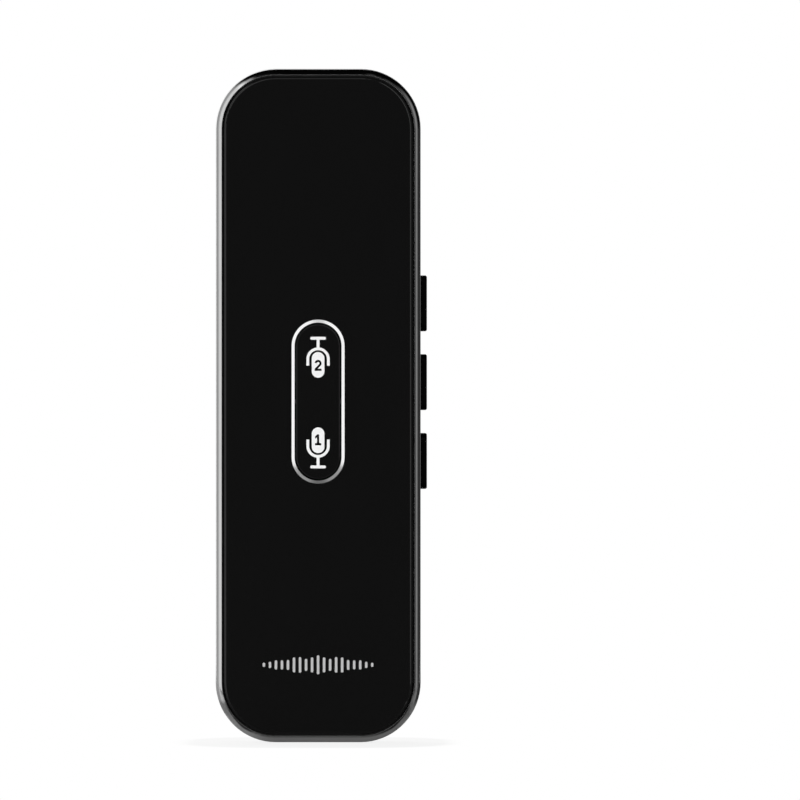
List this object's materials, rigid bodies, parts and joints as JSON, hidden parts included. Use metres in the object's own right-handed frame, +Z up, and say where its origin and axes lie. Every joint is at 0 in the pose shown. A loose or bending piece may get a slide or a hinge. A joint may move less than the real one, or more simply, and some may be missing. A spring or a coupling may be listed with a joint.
{
  "type": "handheld translator",
  "caption": "Slim metal handheld voice translator with a black glass front, a rocking talk key in a bright ring, side buttons and a drilled loudspeaker back.",
  "frame": {"origin": "middle of the bottom end, on the surface that the upright object stands on; in X and Y the middle of the metal body", "axes": "+Z up along the body's length; -Y is the glass front, +Y the back; +X is the side with the three buttons"},
  "size_m": [0.0433, 0.0111, 0.138],
  "materials": {
    "shell_metal": "satin",
    "frame_metal": "satin",
    "black_glass": "gloss",
    "bright_ring": "polished",
    "key_black": "gloss",
    "button_black": "satin",
    "adhesive_black": "matte",
    "steel": "satin",
    "switch_metal": "satin",
    "stem_plastic": "matte",
    "circuit_green": "satin",
    "chip_black": "matte",
    "ceramic_cream": "matte",
    "cell_foil": "satin",
    "foam_black": "matte",
    "wire_red": "satin",
    "wire_black": "satin",
    "speaker_dark": "satin",
    "magnet_metal": "satin",
    "cone_black": "matte",
    "rubber_black": "matte",
    "mesh_black": "matte",
    "capsule_metal": "satin",
    "screw_steel": "satin"
  },
  "bodies": {
    "housing": {"rear_shell": "shell_metal", "front_frame": "frame_metal", "front_glass": "black_glass", "glass_adhesive": "adhesive_black", "key_bezel": "bright_ring", "rocker_pivot_pin": "steel", "talk_switch_upper": "switch_metal", "talk_switch_lower": "switch_metal", "power_switch": "switch_metal", "volume_up_switch": "switch_metal", "volume_down_switch": "switch_metal", "main_board": "circuit_green", "processor_shield": "steel", "board_components": "chip_black", "antenna": "ceramic_cream", "usb_socket_shell": "steel", "usb_socket_tongue": "chip_black", "battery_cell": "cell_foil", "battery_tape": "adhesive_black", "battery_pad": "foam_black", "battery_protection_board": "circuit_green", "battery_connector": "stem_plastic", "battery_lead_red": "wire_red", "battery_lead_black": "wire_black", "speaker_basket": "speaker_dark", "speaker_magnet": "magnet_metal", "speaker_cone": "cone_black", "speaker_gasket": "rubber_black", "speaker_mesh": "mesh_black", "speaker_leads": "wire_red", "mic_boot_top": "rubber_black", "mic_boot_bottom": "rubber_black", "mic_capsule_top": "capsule_metal", "mic_capsule_bottom": "capsule_metal", "mic_leads": "wire_red", "housing_screws": "screw_steel", "board_screws": "screw_steel"},
    "talk_key": {"rocker_key": "key_black"},
    "power_button": {"power_button": "button_black", "power_stem": "stem_plastic"},
    "volume_up_button": {"volume_up_button": "button_black", "volume_up_stem": "stem_plastic"},
    "volume_down_button": {"volume_down_button": "button_black", "volume_down_stem": "stem_plastic"}
  },
  "joints": [
    {"name": "talk_rock", "type": "hinge", "parent": "housing", "child": "talk_key", "pos_m": [0, -0.0025, 0.0698], "axis": [1, 0, 0], "range_deg": [-1.3, 1.3], "stiffness_Nm_per_rad": 0.05},
    {"name": "power_press", "type": "slide", "parent": "housing", "child": "power_button", "axis": [-1, 0, 0], "range_m": [0, 0.0003], "stiffness_N_per_m": 400},
    {"name": "volume_up_press", "type": "slide", "parent": "housing", "child": "volume_up_button", "axis": [-1, 0, 0], "range_m": [0, 0.0003], "stiffness_N_per_m": 400},
    {"name": "volume_down_press", "type": "slide", "parent": "housing", "child": "volume_down_button", "axis": [-1, 0, 0], "range_m": [0, 0.0003], "stiffness_N_per_m": 400}
  ]
}
